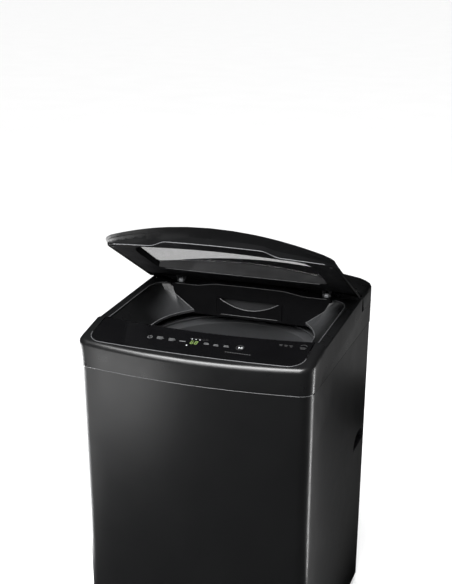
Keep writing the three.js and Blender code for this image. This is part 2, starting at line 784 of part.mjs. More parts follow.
function makeOuterTub() {
  const wall = turned([
    [42, 206], [250, 206], [276, 218], [TUB_R, 242], [TUB_R, 836], [291, 838],
    [291, 846], [280, 846], [280, 243], [273, 222], [249, 211], [42, 211],
  ], 0, AXIS_Y, 36);
  const lugs = rodPlaces().map(([x, y]) => {
    const end = Math.hypot(x, y - AXIS_Y) + 16;
    const start = TUB_R - 2.5;
    const arm = new THREE.BoxGeometry(end - start, 44, 24);
    arm.translate((end + start) / 2, 0, 312);
    arm.rotateZ(Math.atan2(y - AXIS_Y, x));
    return cut(solid(arm.translate(0, AXIS_Y, 0)), cylinderZ(x, y, 7.5, 290, 330, 12));
  });
  const spigot = cut(cylinderZ(0, AXIS_Y - 200, 20, 180, 208), cylinderZ(0, AXIS_Y - 200, 16, 170, 215));
  const drain = cylinderZ(0, AXIS_Y - 200, 16, 200, 215);
  return join(cut(join(wall, ...lugs), drain), spigot);
}

function makeTubCover() {
  return turned([
    [238, 870], [258, 869], [284, 852], [284, 846.4], [291, 846.4], [291, 856], [262, 872.6], [238, 874.6],
  ], 0, AXIS_Y);
}

function makeWashDrum() {
  return turned([
    [60, 258], [240, 258], [255, 268], [DRUM_R, 285], [DRUM_R, 799.5],
    [DRUM_R - 1.5, 799.5], [DRUM_R - 1.5, 285.6], [254, 269], [239.6, 259.6], [60, 259.6],
  ], 0, AXIS_Y, 40);
}

function makeBalanceRing() {
  return turned([
    [214, 802], [214, 860], [218, 863.5], [235, 867.6], [256, 867.6], [262, 863], [262, 800], [216, 800],
  ], 0, AXIS_Y, 40);
}

function makeDrumHub() {
  const hub = turned([[21, 226], [60, 226], [64, 246], [150, 252], [150, 257.6], [21, 257.6]], 0, AXIS_Y, 24);
  return hub;
}

function makePulsator() {
  const dish = turned([
    [13, 266], [60, 266], [195, 266], [203, 274], [203, 278], [194, 276], [120, 283], [60, 300], [38, 306], [38, 302], [13, 302],
  ], 0, AXIS_Y, 28);
  const fin = [[40, 270], [190, 270], [188, 282], [168, 300], [120, 308], [70, 318], [40, 316]];
  const fins = [];
  for (let i = 0; i < 6; i += 1) {
    const shape = extruded(fin, 16, X, Z, new THREE.Vector3(0, 8, 0)).rotateZ((i * Math.PI) / 3);
    fins.push(solid(shape.translate(0, AXIS_Y, 0)));
  }
  const well = cylinderZ(0, AXIS_Y, 36, 302, 340, 24);
  return cut(join(dish, ...fins), well, cylinderZ(0, AXIS_Y, 13, 260, 320, 16));
}

function makePulsatorCap() {
  return turned([[0, 303], [35, 303], [35, 316], [28, 323], [14, 327], [0, 328]], 0, AXIS_Y, 24);
}

function makeWashShaft() {
  return turned([[0, 104], [12, 104], [12, 298], [9, 302], [0, 302]], 0, AXIS_Y, 20);
}

function makeSpinShaft() {
  return turned([[12.6, 140], [20, 140], [20, 256], [12.6, 256]], 0, AXIS_Y, 20);
}

function makeBearingHousing() {
  return turned([
    [27, 142], [35, 142], [40, 188], [96, 194], [178, 196], [178, 205.5], [41.4, 205.5], [41.4, 201], [27, 201],
  ], 0, AXIS_Y, 24);
}

function makeBearing(z0, z1) {
  return turned([[20.4, z0], [26.6, z0], [26.6, z1], [20.4, z1]], 0, AXIS_Y, 20);
}

function makeTubSeal() {
  return turned([[20.5, 206], [32, 202], [40.8, 202], [40.8, 214], [36, 216], [20.5, 214]], 0, AXIS_Y, 20);
}

function makeStator() {
  return turned([[60, 168], [132, 160], [132, 182], [104, 184], [104, 192.4], [84, 190.2], [60, 187.4]], 0, AXIS_Y, 24);
}

function makeRotor() {
  return turned([
    [12.5, 112], [140, 120], [145, 126], [145, 178], [139, 178], [139, 132], [134, 124], [12.5, 116],
  ], 0, AXIS_Y, 28);
}

function makeRotorNut() {
  return turned([[0, 98], [16, 98], [16, 103.4], [0, 103.4]], 0, AXIS_Y, 6);
}

function makeLintFilter(sign) {
  const x0 = sign > 0 ? 229 : -250;
  const body = box(x0, x0 + 21, AXIS_Y - 42, AXIS_Y + 42, 560, 730);
  const hollow = box(x0 + 3, x0 + 18, AXIS_Y - 38, AXIS_Y + 38, 566, 724);
  const windows = [-26, 0, 26].map((y) => {
    const mesh = box(sign > 0 ? 220 : -240, sign > 0 ? 240 : -220, AXIS_Y + y - 9, AXIS_Y + y + 9, 580, 690);
    return mesh;
  });
  return cut(body, hollow, ...windows);
}

// ---- services -----------------------------------------------------------------------------------
const VALVE_XS = [-120, -60];
const VALVE_Z = 905;
const DRAIN_X = 215;
const DRAIN_Z = 130;
const GLAND_X = -225;
const GLAND_Z = 790;

function makeInletValve(x) {
  const bodyBlock = box(x - 22, x + 22, 276, 306, 882, 926);
  const coil = box(x - 16, x + 16, 282, 304, 925, 933);
  const nozzle = cut(cylinderY(x, VALVE_Z, 13, 305, 335), cylinderY(x, VALVE_Z, 8, 312, 336));
  return cut(join(bodyBlock, coil, nozzle), cylinderY(x, VALVE_Z, 8, 296, 336));
}

function makeDrainOutlet() {
  const tube = join(
    cylinderY(DRAIN_X, DRAIN_Z, 14, 296, 334),
    cylinderY(DRAIN_X, DRAIN_Z, 22, 304, 312.8),
  );
  return cut(tube, cylinderY(DRAIN_X, DRAIN_Z, 11, 290, 340));
}

function makeCordGland() {
  const body = join(cylinderY(GLAND_X, GLAND_Z, 11.4, 304, 326), cylinderY(GLAND_X, GLAND_Z, 17, 304, 312.8));
  return cut(body, cylinderY(GLAND_X, GLAND_Z, 5, 300, 330, 12));
}

function makeDrainPump() {
  return join(
    cylinderZ(DRAIN_X, 228, 38, 76, 122, 20),
    cylinderZ(DRAIN_X, 228, 28, 120, 158, 20),
    cylinderY(DRAIN_X, DRAIN_Z - 30, 12, 250, 294),
    box(DRAIN_X - 50, DRAIN_X + 50, 200, 256, BASE_TOP_Z + 0.5, 82),
  );
}

function makeLidSwitch() {
  return join(box(296, 309, -150, -112, 925, 944), box(292, 300, -140, -122, 920, 930));
}

// ---- materials ----------------------------------------------------------------------------------
function paint(color, roughness, metalness, extra = {}) {
  return new THREE.MeshStandardMaterial({ color, roughness, metalness, flatShading: true, ...extra });
}

const looks = {
  steel: () => paint(0x2c2d2f, 0.34, 0.75),
  cover: () => paint(0x2a2b2d, 0.36, 0.35),
  glossBlack: () => paint(0x0b0b0d, 0.08, 0.0),
  trim: () => paint(0x9a9da2, 0.22, 0.9),
  glass: () => paint(0x3a3c40, 0.06, 0.0, { transparent: true, opacity: 0.45 }),
  darkPlastic: () => paint(0x1b1c1e, 0.42, 0.0),
  greyPlastic: () => paint(0x6c6f73, 0.5, 0.0),
  whitePlastic: () => paint(0xcfd1d3, 0.48, 0.0),
  stainless: () => paint(0xa8abae, 0.28, 0.95),
  zinc: () => paint(0x8f9397, 0.4, 0.85),
  rubber: () => paint(0x18191a, 0.85, 0.0),
  aluminium: () => paint(0xa2a5a8, 0.5, 0.7),
  board: () => paint(0x1f5a38, 0.55, 0.1),
};

// ---- assembly -----------------------------------------------------------------------------------
const machine = new THREE.Group();
const lid = new THREE.Group();
machine.add(lid);

function add(name, made, look, parent = machine, place = [0, 0, 0]) {
  const mesh = new THREE.Mesh(geometryOf(made), looks[look]());
  mesh.name = name;
  mesh.position.set(...place);
  parent.add(mesh);
  return mesh;
}

const CORNERS = ['front_left', 'front_right', 'rear_left', 'rear_right'];

add('cabinet_shell', makeCabinetShell(), 'steel');
add('rear_panel', makeRearPanel(), 'zinc');
add('base_frame', makeBaseFrame(), 'darkPlastic');
add('top_cover', makeTopCover(), 'cover');
add('rear_deck', makeRearDeck(), 'cover');
add('console_panel', makeConsolePanel(), 'glossBlack');
add('console_trim', makeConsoleTrim(), 'trim');
add('display_window', makeDisplayWindow(), 'glossBlack');
add('control_board', makeControlBoard(), 'board');
add('dispenser_housing', makeDispenserHousing(), 'darkPlastic');
add('hinge_bracket_left', makeHingeBracket(-1), 'zinc');
add('hinge_bracket_right', makeHingeBracket(1), 'zinc');
add('lid_switch', makeLidSwitch(), 'whitePlastic');
add('handle_left', makeHandle(-1), 'darkPlastic');
add('handle_right', makeHandle(1), 'darkPlastic');
add('inlet_valve_hot', makeInletValve(VALVE_XS[0]), 'whitePlastic');
add('inlet_valve_cold', makeInletValve(VALVE_XS[1]), 'whitePlastic');
add('drain_outlet', makeDrainOutlet(), 'greyPlastic');
add('drain_pump', makeDrainPump(), 'greyPlastic');
add('cord_gland', makeCordGland(), 'rubber');

add('detergent_drawer', makeDetergentDrawer(), 'darkPlastic');
add('softener_cap', makeSoftenerCap(), 'greyPlastic');

add('outer_tub', makeOuterTub(), 'whitePlastic');
add('tub_cover', makeTubCover(), 'greyPlastic');
add('bearing_housing', makeBearingHousing(), 'aluminium');
add('upper_bearing', makeBearing(180, 196), 'stainless');
add('lower_bearing', makeBearing(150, 164), 'stainless');
add('tub_seal', makeTubSeal(), 'rubber');
add('stator', makeStator(), 'zinc');

add('wash_drum', makeWashDrum(), 'stainless');
add('balance_ring', makeBalanceRing(), 'greyPlastic');
add('drum_hub', makeDrumHub(), 'aluminium');
add('spin_shaft', makeSpinShaft(), 'stainless');
add('lint_filter_left', makeLintFilter(-1), 'greyPlastic');
add('lint_filter_right', makeLintFilter(1), 'greyPlastic');

add('pulsator', makePulsator(), 'greyPlastic');
add('pulsator_cap', makePulsatorCap(), 'trim');
add('wash_shaft', makeWashShaft(), 'stainless');
add('rotor', makeRotor(), 'zinc');
add('rotor_nut', makeRotorNut(), 'zinc');

CORNERS.forEach((corner, i) => {
  const [footX, footY] = footPlaces()[i];
  const [rodX, rodY] = rodPlaces()[i];
  add(`foot_${corner}`, makeFoot(), 'rubber', machine, [footX, footY, 0]);
  add(`suspension_rod_${corner}`, makeSuspensionRod(), 'zinc', machine, [rodX, rodY, 0]);
  add(`damper_cup_${corner}`, makeDamperCup(), 'greyPlastic', machine, [rodX, rodY, 0]);
});

lid.position.set(0, HINGE_Y, HINGE_Z);
lid.rotation.x = (-LID_REST_ANGLE * Math.PI) / 180;
const fromHinge = [0, -HINGE_Y, -HINGE_Z];
add('lid_frame', makeLidFrame(), 'cover', lid, fromHinge);
add('lid_glass', makeLidGlass(), 'glass', lid, fromHinge);
add('lid_inner_frame', makeLidInnerFrame(), 'darkPlastic', lid, fromHinge);
add('lid_hinge_left', makeLidHinge(-1), 'zinc', lid, fromHinge);
add('lid_hinge_right', makeLidHinge(1), 'zinc', lid, fromHinge);
add('lid_bumper_left', makeLidBumper(-1), 'rubber', lid, fromHinge);
add('lid_bumper_right', makeLidBumper(1), 'rubber', lid, fromHinge);

export default machine;
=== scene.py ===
"""Looks for a top load washing machine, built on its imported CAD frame. Metres, +Z up, +Y to the rear."""

import json
import math

import bmesh
import bpy
from mathutils import Matrix, Vector


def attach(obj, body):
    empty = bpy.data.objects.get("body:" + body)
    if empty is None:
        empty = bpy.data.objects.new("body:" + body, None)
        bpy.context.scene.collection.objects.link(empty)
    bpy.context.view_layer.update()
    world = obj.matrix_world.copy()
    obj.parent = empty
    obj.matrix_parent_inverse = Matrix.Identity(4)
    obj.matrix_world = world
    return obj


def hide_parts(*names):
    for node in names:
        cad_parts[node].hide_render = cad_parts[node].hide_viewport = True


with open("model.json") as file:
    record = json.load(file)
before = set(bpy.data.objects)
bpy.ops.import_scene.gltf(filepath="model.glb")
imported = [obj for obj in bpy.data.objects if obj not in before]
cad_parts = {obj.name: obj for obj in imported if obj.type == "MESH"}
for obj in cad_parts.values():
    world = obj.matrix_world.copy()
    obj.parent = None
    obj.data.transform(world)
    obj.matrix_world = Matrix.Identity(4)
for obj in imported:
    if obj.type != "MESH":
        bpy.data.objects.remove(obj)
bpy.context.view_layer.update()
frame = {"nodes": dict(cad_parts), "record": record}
nodes = frame["nodes"]
node_body = {}
for body, members in frame["record"]["behaviour"]["bodies"].items():
    for member in members:
        node_body[member] = body

AXIS_Y = -0.014  # the drum's axis
HINGE_Y, HINGE_Z = 0.1714, 0.979
HINGE = Vector((0.0, HINGE_Y, HINGE_Z))
LID_REST = math.radians(33)  # how far the lid is open in the stored pose
COVER_FALL = 0.05  # slope of the cover's rim, down towards the front
CABINET_TOP = 0.875  # top edge of the steel cabinet
SLOPE_Y = 0.1404  # front face of the dispenser wall, where the funnel's slopes end
REARWARD = Vector((0, 1, 0))


# ---- materials ----------------------------------------------------------------------------------
def ramp(tree, source, low, high, from_low=0.3, from_high=0.7):
    node = tree.nodes.new("ShaderNodeMapRange")
    node.inputs["From Min"].default_value = from_low
    node.inputs["From Max"].default_value = from_high
    node.inputs["To Min"].default_value = low
    node.inputs["To Max"].default_value = high
    tree.links.new(source, node.inputs["Value"])
    return node.outputs["Result"]


def noise(tree, vector, scale, detail=4.0, rough=0.55):
    node = tree.nodes.new("ShaderNodeTexNoise")
    node.inputs["Scale"].default_value = scale
    node.inputs["Detail"].default_value = detail
    node.inputs["Roughness"].default_value = rough
    tree.links.new(vector, node.inputs["Vector"])
    return node.outputs["Fac"]


def stretched(tree, vector, scale):
    node = tree.nodes.new("ShaderNodeMapping")
    node.inputs["Scale"].default_value = scale
    tree.links.new(vector, node.inputs["Vector"])
    return node.outputs["Vector"]


def mixed(tree, factor, first, second):
    """Blends two colours, each given as three numbers or as a socket."""
    node = tree.nodes.new("ShaderNodeMix")
    node.data_type = "RGBA"
    for slot, value in (("A", first), ("B", second)):
        if isinstance(value, tuple):
            node.inputs[slot].default_value = (*value, 1)
        else:
            tree.links.new(value, node.inputs[slot])
    tree.links.new(factor, node.inputs["Factor"])
    return node.outputs["Result"]


def object_axes(tree):
    """The X, Y and Z sockets of the object's own coordinates."""
    split = tree.nodes.new("ShaderNodeSeparateXYZ")
    tree.links.new(tree.nodes.new("ShaderNodeTexCoord").outputs["Object"], split.inputs["Vector"])
    return split.outputs


def calculate(tree, operation, *values):
    """A math node; each value is a number or a socket."""
    node = tree.nodes.new("ShaderNodeMath")
    node.operation = operation
    for slot, value in enumerate(values):
        if isinstance(value, (int, float)):
            node.inputs[slot].default_value = value
        else:
            tree.links.new(value, node.inputs[slot])
    return node.outputs["Value"]


def shader_of(made):
    return made.node_tree.nodes["Principled BSDF"]


def base_color(made):
    """The socket that feeds a finish's base colour."""
    return shader_of(made).inputs["Base Color"].links[0].from_socket


def make_material(
    name,
    color,
    rough,
    metallic=0.0,
    vary=0.15,
    rough_vary=0.06,
    grain=900.0,
    bump=0.02,
    patches=7.0,
    stretch=(1, 1, 1),
    specular=0.5,
    alpha=1.0,
    emission=None,
):
    """A procedural finish: patchy colour and gloss from broad noise, and a fine grain as bump."""
    made = bpy.data.materials.new(name)
    made.use_nodes = True
    tree = made.node_tree
    shader = shader_of(made)
    place = tree.nodes.new("ShaderNodeTexCoord").outputs["Object"]
    broad = noise(tree, place, patches, 5.0)
    light = tuple(min(1.0, c * (1 + vary)) for c in color)
    dark = tuple(c * (1 - vary) for c in color)
    tree.links.new(mixed(tree, ramp(tree, broad, 0, 1), dark, light), shader.inputs["Base Color"])
    wear = noise(tree, place, patches * 4.3, 6.0, 0.65)
    rough_map = ramp(tree, wear, max(0.02, rough - rough_vary), rough + rough_vary)
    tree.links.new(rough_map, shader.inputs["Roughness"])
    fine = noise(tree, stretched(tree, place, stretch), grain, 2.0)
    bumper = tree.nodes.new("ShaderNodeBump")
    bumper.inputs["Strength"].default_value = bump
    bumper.inputs["Distance"].default_value = 0.0006
    tree.links.new(fine, bumper.inputs["Height"])
    tree.links.new(bumper.outputs["Normal"], shader.inputs["Normal"])
    shader.inputs["Metallic"].default_value = metallic
    shader.inputs["Specular IOR Level"].default_value = specular
    shader.inputs["Alpha"].default_value = alpha
    if emission:
        shader.inputs["Emission Color"].default_value = (*color, 1)
        shader.inputs["Emission Strength"].default_value = emission
    return made


def paint_rear_shade(made, front, rear, dark):
    """Paints shade into a finish: its colour darkens from y = front to y = rear."""
    tree = made.node_tree
    share = ramp(tree, object_axes(tree)["Y"], 0, 1, front, rear)
    tree.links.new(mixed(tree, share, base_color(made), dark), shader_of(made).inputs["Base Color"])


def paint_funnel_sheen(made, light):
    """Paints a sheen onto the funnel's rear slopes: a paler colour that fades out towards the front and the
    rim.
    """
    tree = made.node_tree
    axes = object_axes(tree)
    fades = (
        (axes["Z"], 0.972, 0.945),
        (calculate(tree, "ABSOLUTE", axes["X"]), 0.268, 0.225),
        (axes["Y"], 0.1435, 0.142),
    )
    share = ramp(tree, axes["Y"], 0, 1, -0.01, 0.14)
    for source, near, far in fades:
        share = calculate(tree, "MULTIPLY", share, ramp(tree, source, 0, 1, near, far))
    tree.links.new(mixed(tree, share, base_color(made), light), shader_of(made).inputs["Base Color"])


def add_pits(made, wall_radius, pitch, size, depth):
    """Rows of round holes drawn into a finish: round the drum's axis, or flat if wall_radius is 0."""
    tree = made.node_tree
    shader = shader_of(made)
    axes = object_axes(tree)
    if wall_radius:
        across = calculate(tree, "ADD", axes["Y"], -AXIS_Y)
        turn = calculate(tree, "ARCTAN2", across, axes["X"])
        u = calculate(tree, "MULTIPLY", turn, wall_radius / pitch)
    else:
        u = calculate(tree, "MULTIPLY", axes["Y"], 1 / pitch)
    v = calculate(tree, "MULTIPLY", axes["Z"], 1 / pitch)
    stagger = calculate(tree, "MULTIPLY", calculate(tree, "FLOOR", v), 0.5)
    du = calculate(tree, "ADD", calculate(tree, "FRACT", calculate(tree, "ADD", u, stagger)), -0.5)
    dv = calculate(tree, "ADD", calculate(tree, "FRACT", v), -0.5)
    squared = calculate(tree, "ADD", calculate(tree, "MULTIPLY", du, du), calculate(tree, "MULTIPLY", dv, dv))
    distance = calculate(tree, "SQRT", squared)
    solid = ramp(tree, distance, 0, 1, size / pitch, size / pitch + 0.07)
    hole = (0.004, 0.004, 0.005)
    tree.links.new(mixed(tree, solid, hole, base_color(made)), shader.inputs["Base Color"])
    deep = tree.nodes.new("ShaderNodeBump")
    deep.inputs["Strength"].default_value = depth
    deep.inputs["Distance"].default_value = 0.002
    tree.links.new(solid, deep.inputs["Height"])
    tree.links.new(shader.inputs["Normal"].links[0].from_socket, deep.inputs["Normal"])
    tree.links.new(deep.outputs["Normal"], shader.inputs["Normal"])
    return made


looks = {
    "cabinet_steel": make_material(
        "black_coated_steel", (0.0038, 0.0039, 0.0042), 0.33, 0.0, 0.1, 0.03, 1400, 0.02, 2.2,
        stretch=(1, 1, 0.08), specular=0.5,
    ),
    "cover_gloss": make_material(
        "black_gloss_cover", (0.0038, 0.0039, 0.0041), 0.3, 0.0, 0.12, 0.04, 1200, 0.015, 5.0,
    ),
    "console_glass": make_material(
        "piano_black_console", (0.002, 0.002, 0.0022), 0.08, 0.0, 0.2, 0.03, 700, 0.004, 6.0,
    ),
    "bright_trim": make_material(
        "satin_chrome", (0.3, 0.305, 0.315), 0.26, 1.0, 0.06, 0.05, 900, 0.02, 9.0,
    ),
    "lid_glass": make_material(
        "smoke_tinted_glass", (0.004, 0.004, 0.0045), 0.05, 0.0, 0.15, 0.03, 500, 0.002, 4.0, specular=0.2,
        alpha=0.4,
    ),
    "dark_plastic": make_material(
        "black_moulded_plastic", (0.0045, 0.0045, 0.005), 0.42, 0.0, 0.2, 0.07, 1600, 0.04, 8.0, specular=0.1,
    ),
    "grey_plastic": make_material(
        "grey_moulded_plastic", (0.045, 0.046, 0.048), 0.38, 0.0, 0.1, 0.07, 1500, 0.04, 8.0,
    ),
    "white_plastic": make_material(
        "off_white_plastic", (0.6, 0.61, 0.6), 0.45, 0.0, 0.07, 0.08, 1300, 0.05, 6.0,
    ),
    "stainless": make_material(
        "stainless_steel", (0.42, 0.43, 0.44), 0.27, 0.8, 0.07, 0.06, 1500, 0.05, 10.0, stretch=(1, 1, 0.03),
    ),
    "zinc_steel": make_material(
        "zinc_plated_steel", (0.34, 0.35, 0.36), 0.42, 0.6, 0.06, 0.06, 300, 0.05, 26.0,
    ),
    "rubber": make_material(
        "black_rubber", (0.014, 0.014, 0.014), 0.75, 0.0, 0.2, 0.08, 1100, 0.12, 12.0, specular=0.3,
    ),
    "cast_aluminium": make_material(
        "cast_aluminium", (0.4, 0.41, 0.42), 0.5, 0.6, 0.1, 0.08, 500, 0.15, 9.0,
    ),
    "board": make_material(
        "circuit_board", (0.02, 0.11, 0.045), 0.5, 0.0, 0.2, 0.06, 400, 0.08, 30.0,
    ),
}
# painted sheen: the cover's funnel slopes turn paler towards the rear
paint_funnel_sheen(looks["cover_gloss"], (0.05, 0.051, 0.053))
# painted shade: the console trim darkens towards its rear edge
paint_rear_shade(looks["bright_trim"], -0.245, -0.215, (0.012, 0.012, 0.013))
drum_steel = add_pits(
    make_material(
        "perforated_drum_steel", (0.36, 0.37, 0.38), 0.3, 0.7, 0.07, 0.06, 1500, 0.05, 10.0,
        stretch=(1, 1, 0.03),
    ),
    0.256, 0.016, 0.0022, 0.5,
)
filter_mesh = add_pits(
    make_material("filter_net", (0.1, 0.1, 0.105), 0.5, 0.0, 0.12, 0.06, 1500, 0.05, 12.0),
    0, 0.0035, 0.0009, 0.4,
)


def printed(name, color, vary=0.1, emission=None):
    return make_material(name, color, 0.5, 0.0, vary, 0.05, 900, 0.02, 40.0, emission=emission)


# finishes for the thin beads below, whose light grey paints highlights along edges
def highlight_bead_finish(name, color, rough=0.3):
    return make_material(name, color, rough, 0.0, 0.1, 0.05, 900, 0.02, 12.0)


mark_white = printed("printed_grey_white", (0.42, 0.43, 0.44), 0.05)
mark_grey = printed("printed_mid_grey", (0.12, 0.122, 0.125))
mark_dim = printed("printed_dim_grey", (0.035, 0.035, 0.036))
mark_green = printed("lit_segment", (0.09, 0.14, 0.035), emission=0.08)
# painted highlights: these three greys colour the edge beads
rim_highlight_paint = highlight_bead_finish("rim_highlight_paint", (0.075, 0.076, 0.079))
lip_highlight_paint = highlight_bead_finish("lip_highlight_paint", (0.16, 0.162, 0.167))
skirt_highlight_paint = highlight_bead_finish("skirt_edge_highlight_paint", (0.085, 0.086, 0.09), 0.28)
grip_lining = make_material(
    "grip_lining", (0.03, 0.0305, 0.032), 0.4, 0.0, 0.15, 0.06, 1300, 0.03, 12.0,
)
lid_black = make_material(
    "black_lid_frame", (0.0034, 0.0035, 0.0037), 0.32, 0.0, 0.12, 0.04, 1200, 0.015, 5.0, specular=0.08,
)
hinge_steel = make_material(
    "dulled_hinge_steel", (0.07, 0.071, 0.074), 0.42, 0.5, 0.06, 0.06, 300, 0.05, 26.0,
)
slot_of = {part["node"]: part["material_slot"] for part in frame["record"]["subparts"]}
special = {
    "wash_drum": drum_steel,
    "lid_frame": lid_black,
    "lid_hinge_left": hinge_steel,
    "lid_hinge_right": hinge_steel,
    "lint_filter_left": filter_mesh,
    "lint_filter_right": filter_mesh,
}


for name, node in nodes.items():
    node.data.materials.clear()
    node.data.materials.append(special.get(name, looks[slot_of[name]]))


# ---- refined copies of the CAD pieces -----------------------------------------------------------
def smooth(mesh, angle):
    """Shades smoothly across every edge that bends by less than angle."""
    for face in mesh.polygons:
        face.use_smooth = True
    work = bmesh.new()
    work.from_mesh(mesh)
    for edge in work.edges:
        edge.smooth = len(edge.link_faces) == 2 and edge.calc_face_angle(0) < angle
    work.to_mesh(mesh)
    work.free()


def mesh_from(work, name, smooth_angle=None):
    """Turns a finished bmesh into a mesh, smooth across edges flatter than smooth_angle degrees."""
    mesh = bpy.data.meshes.new(name)
    work.to_mesh(mesh)
    work.free()
    if smooth_angle:
        smooth(mesh, math.radians(smooth_angle))
    return mesh


def refine(node, bevel, angle=32):
    """A copy of a CAD node with rounded edges and smooth curved faces, shown in its place."""
    mesh = nodes[node].data.copy()
    work = bmesh.new()
    work.from_mesh(mesh)
    bmesh.ops.remove_doubles(work, verts=work.verts, dist=2e-5)
    bmesh.ops.dissolve_limit(work, angle_limit=math.radians(0.6), verts=work.verts, edges=work.edges)
    work.to_mesh(mesh)
    work.free()
    piece = bpy.data.objects.new(node + "_skin", mesh)
    bpy.context.scene.collection.objects.link(piece)
    smooth(mesh, math.radians(angle))
    if bevel:
        rounder = piece.modifiers.new("rounded_edges", "BEVEL")
        rounder.width = bevel
        rounder.segments = 2
        rounder.limit_method = "ANGLE"
        rounder.angle_limit = math.radians(angle)
        rounder.harden_normals = True
        rounder.use_clamp_overlap = True
    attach(piece, node_body[node])
    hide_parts(node)


BEVELS = {
    "cabinet_shell": 0.0006,
    "top_cover": 0.0011,
    "rear_deck": 0.0014,
    "console_panel": 0.0005,
    "console_trim": 0.0003,
    "dispenser_housing": 0.0012,
    "detergent_drawer": 0.0009,
    "lid_frame": 0.0007,
    "lid_inner_frame": 0.0008,
    "lid_glass": 0.0003,
    "tub_cover": 0.001,
    "balance_ring": 0.002,
    "wash_drum": 0.0003,
    "pulsator": 0.0015,
    "pulsator_cap": 0.0008,
    "base_frame": 0.001,
    "rear_panel": 0.0005,
    "handle_left": 0.0012,
    "handle_right": 0.0012,
    "outer_tub": 0.0008,
    "drum_hub": 0.001,
    "lint_filter_left": 0.001,
    "lint_filter_right": 0.001,
    "lid_hinge_left": 0.0004,
    "lid_hinge_right": 0.0004,
    "hinge_bracket_left": 0.0004,
    "hinge_bracket_right": 0.0004,
    "inlet_valve_hot": 0.0008,
    "inlet_valve_cold": 0.0008,
    "drain_outlet": 0.0006,
    "drain_pump": 0.001,
    "cord_gland": 0.0008,
    "softener_cap": 0.0006,
}
for node_name, width in BEVELS.items():
    refine(node_name, width)
for node_name in sorted(set(nodes) - set(BEVELS)):
    refine(node_name, 0.0)


# ---- small pieces -------------------------------------------------------------------------------
def add_piece(name, mesh, material, body):
    mesh.materials.append(material)
    piece = bpy.data.objects.new(name, mesh)
    bpy.context.scene.collection.objects.link(piece)
    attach(piece, body)


def add_box(work, center, size):
    cube = bmesh.ops.create_cube(work, size=1.0)["verts"]
    bmesh.ops.scale(work, vec=size, verts=cube)
    bmesh.ops.translate(work, vec=center, verts=cube)


def console_z(y):
    """Height of the console's glass."""
    return 0.9677 + 0.2234 * (y + 0.2016)


def rim_z(y):
    """Height of the cover's rim and of the closed lid's underside."""
    return HINGE_Z - COVER_FALL * (HINGE_Y - y)


def plates(name, outlines, material, high=0.00062):
    """Flat printed shapes, each an outline of (x, y), laid on the console's glass."""
    low = 0.00035
    work = bmesh.new()
    for outline in outlines:
        bottom = [work.verts.new((x, y, console_z(y) + low)) for x, y in outline]
        top = [work.verts.new((x, y, console_z(y) + high)) for x, y in outline]
        work.faces.new(list(reversed(bottom)))
        work.faces.new(top)
        for i in range(len(outline)):
            j = (i + 1) % len(outline)
            work.faces.new((bottom[i], bottom[j], top[j], top[i]))
    bmesh.ops.recalc_face_normals(work, faces=work.faces)
    add_piece(name, mesh_from(work, name), material, "cabinet")


def bar(x, y, width, depth):
    """A rectangle's outline."""
    w, d = width / 2, depth / 2
    return [(x - w, y - d), (x + w, y - d), (x + w, y + d), (x - w, y + d)]


def ring_parts(x, y, radius, thickness, start=0, end=360, count=24):
    """A ring as a row of four-cornered outlines."""
    parts = []
    for i in range(count):
        a = math.radians(start + (end - start) * i / count)
        b = math.radians(start + (end - start) * (i + 1) / count)
        inner, outer = radius - thickness / 2, radius + thickness / 2
        parts.append([
            (x + outer * math.cos(a), y + outer * math.sin(a)),
            (x + outer * math.cos(b), y + outer * math.sin(b)),
            (x + inner * math.cos(b), y + inner * math.sin(b)),
            (x + inner * math.cos(a), y + inner * math.sin(a)),
        ])
    return parts


def digit(x, y, width, depth, lit):
    """A seven-segment digit; lit names its segments: t, m and b across, ul, ur, ll and lr upright."""
    stroke = 0.0017
    half = depth / 4
    places = {
        "t": bar(x, y + depth / 2, width, stroke),
        "m": bar(x, y, width, stroke),
        "b": bar(x, y - depth / 2, width, stroke),
        "ul": bar(x - width / 2, y + half, stroke, depth / 2 - 0.002),
        "ur": bar(x + width / 2, y + half, stroke, depth / 2 - 0.002),
        "ll": bar(x - width / 2, y - half, stroke, depth / 2 - 0.002),
        "lr": bar(x + width / 2, y - half, stroke, depth / 2 - 0.002),
    }
    return [places[part] for part in lit]


def dot(x, y, radius, count=12):
    """A round mark's outline."""
    turn = [2 * math.pi * i / count for i in range(count)]
    return [(x + radius * math.cos(a), y + radius * math.sin(a)) for a in turn]


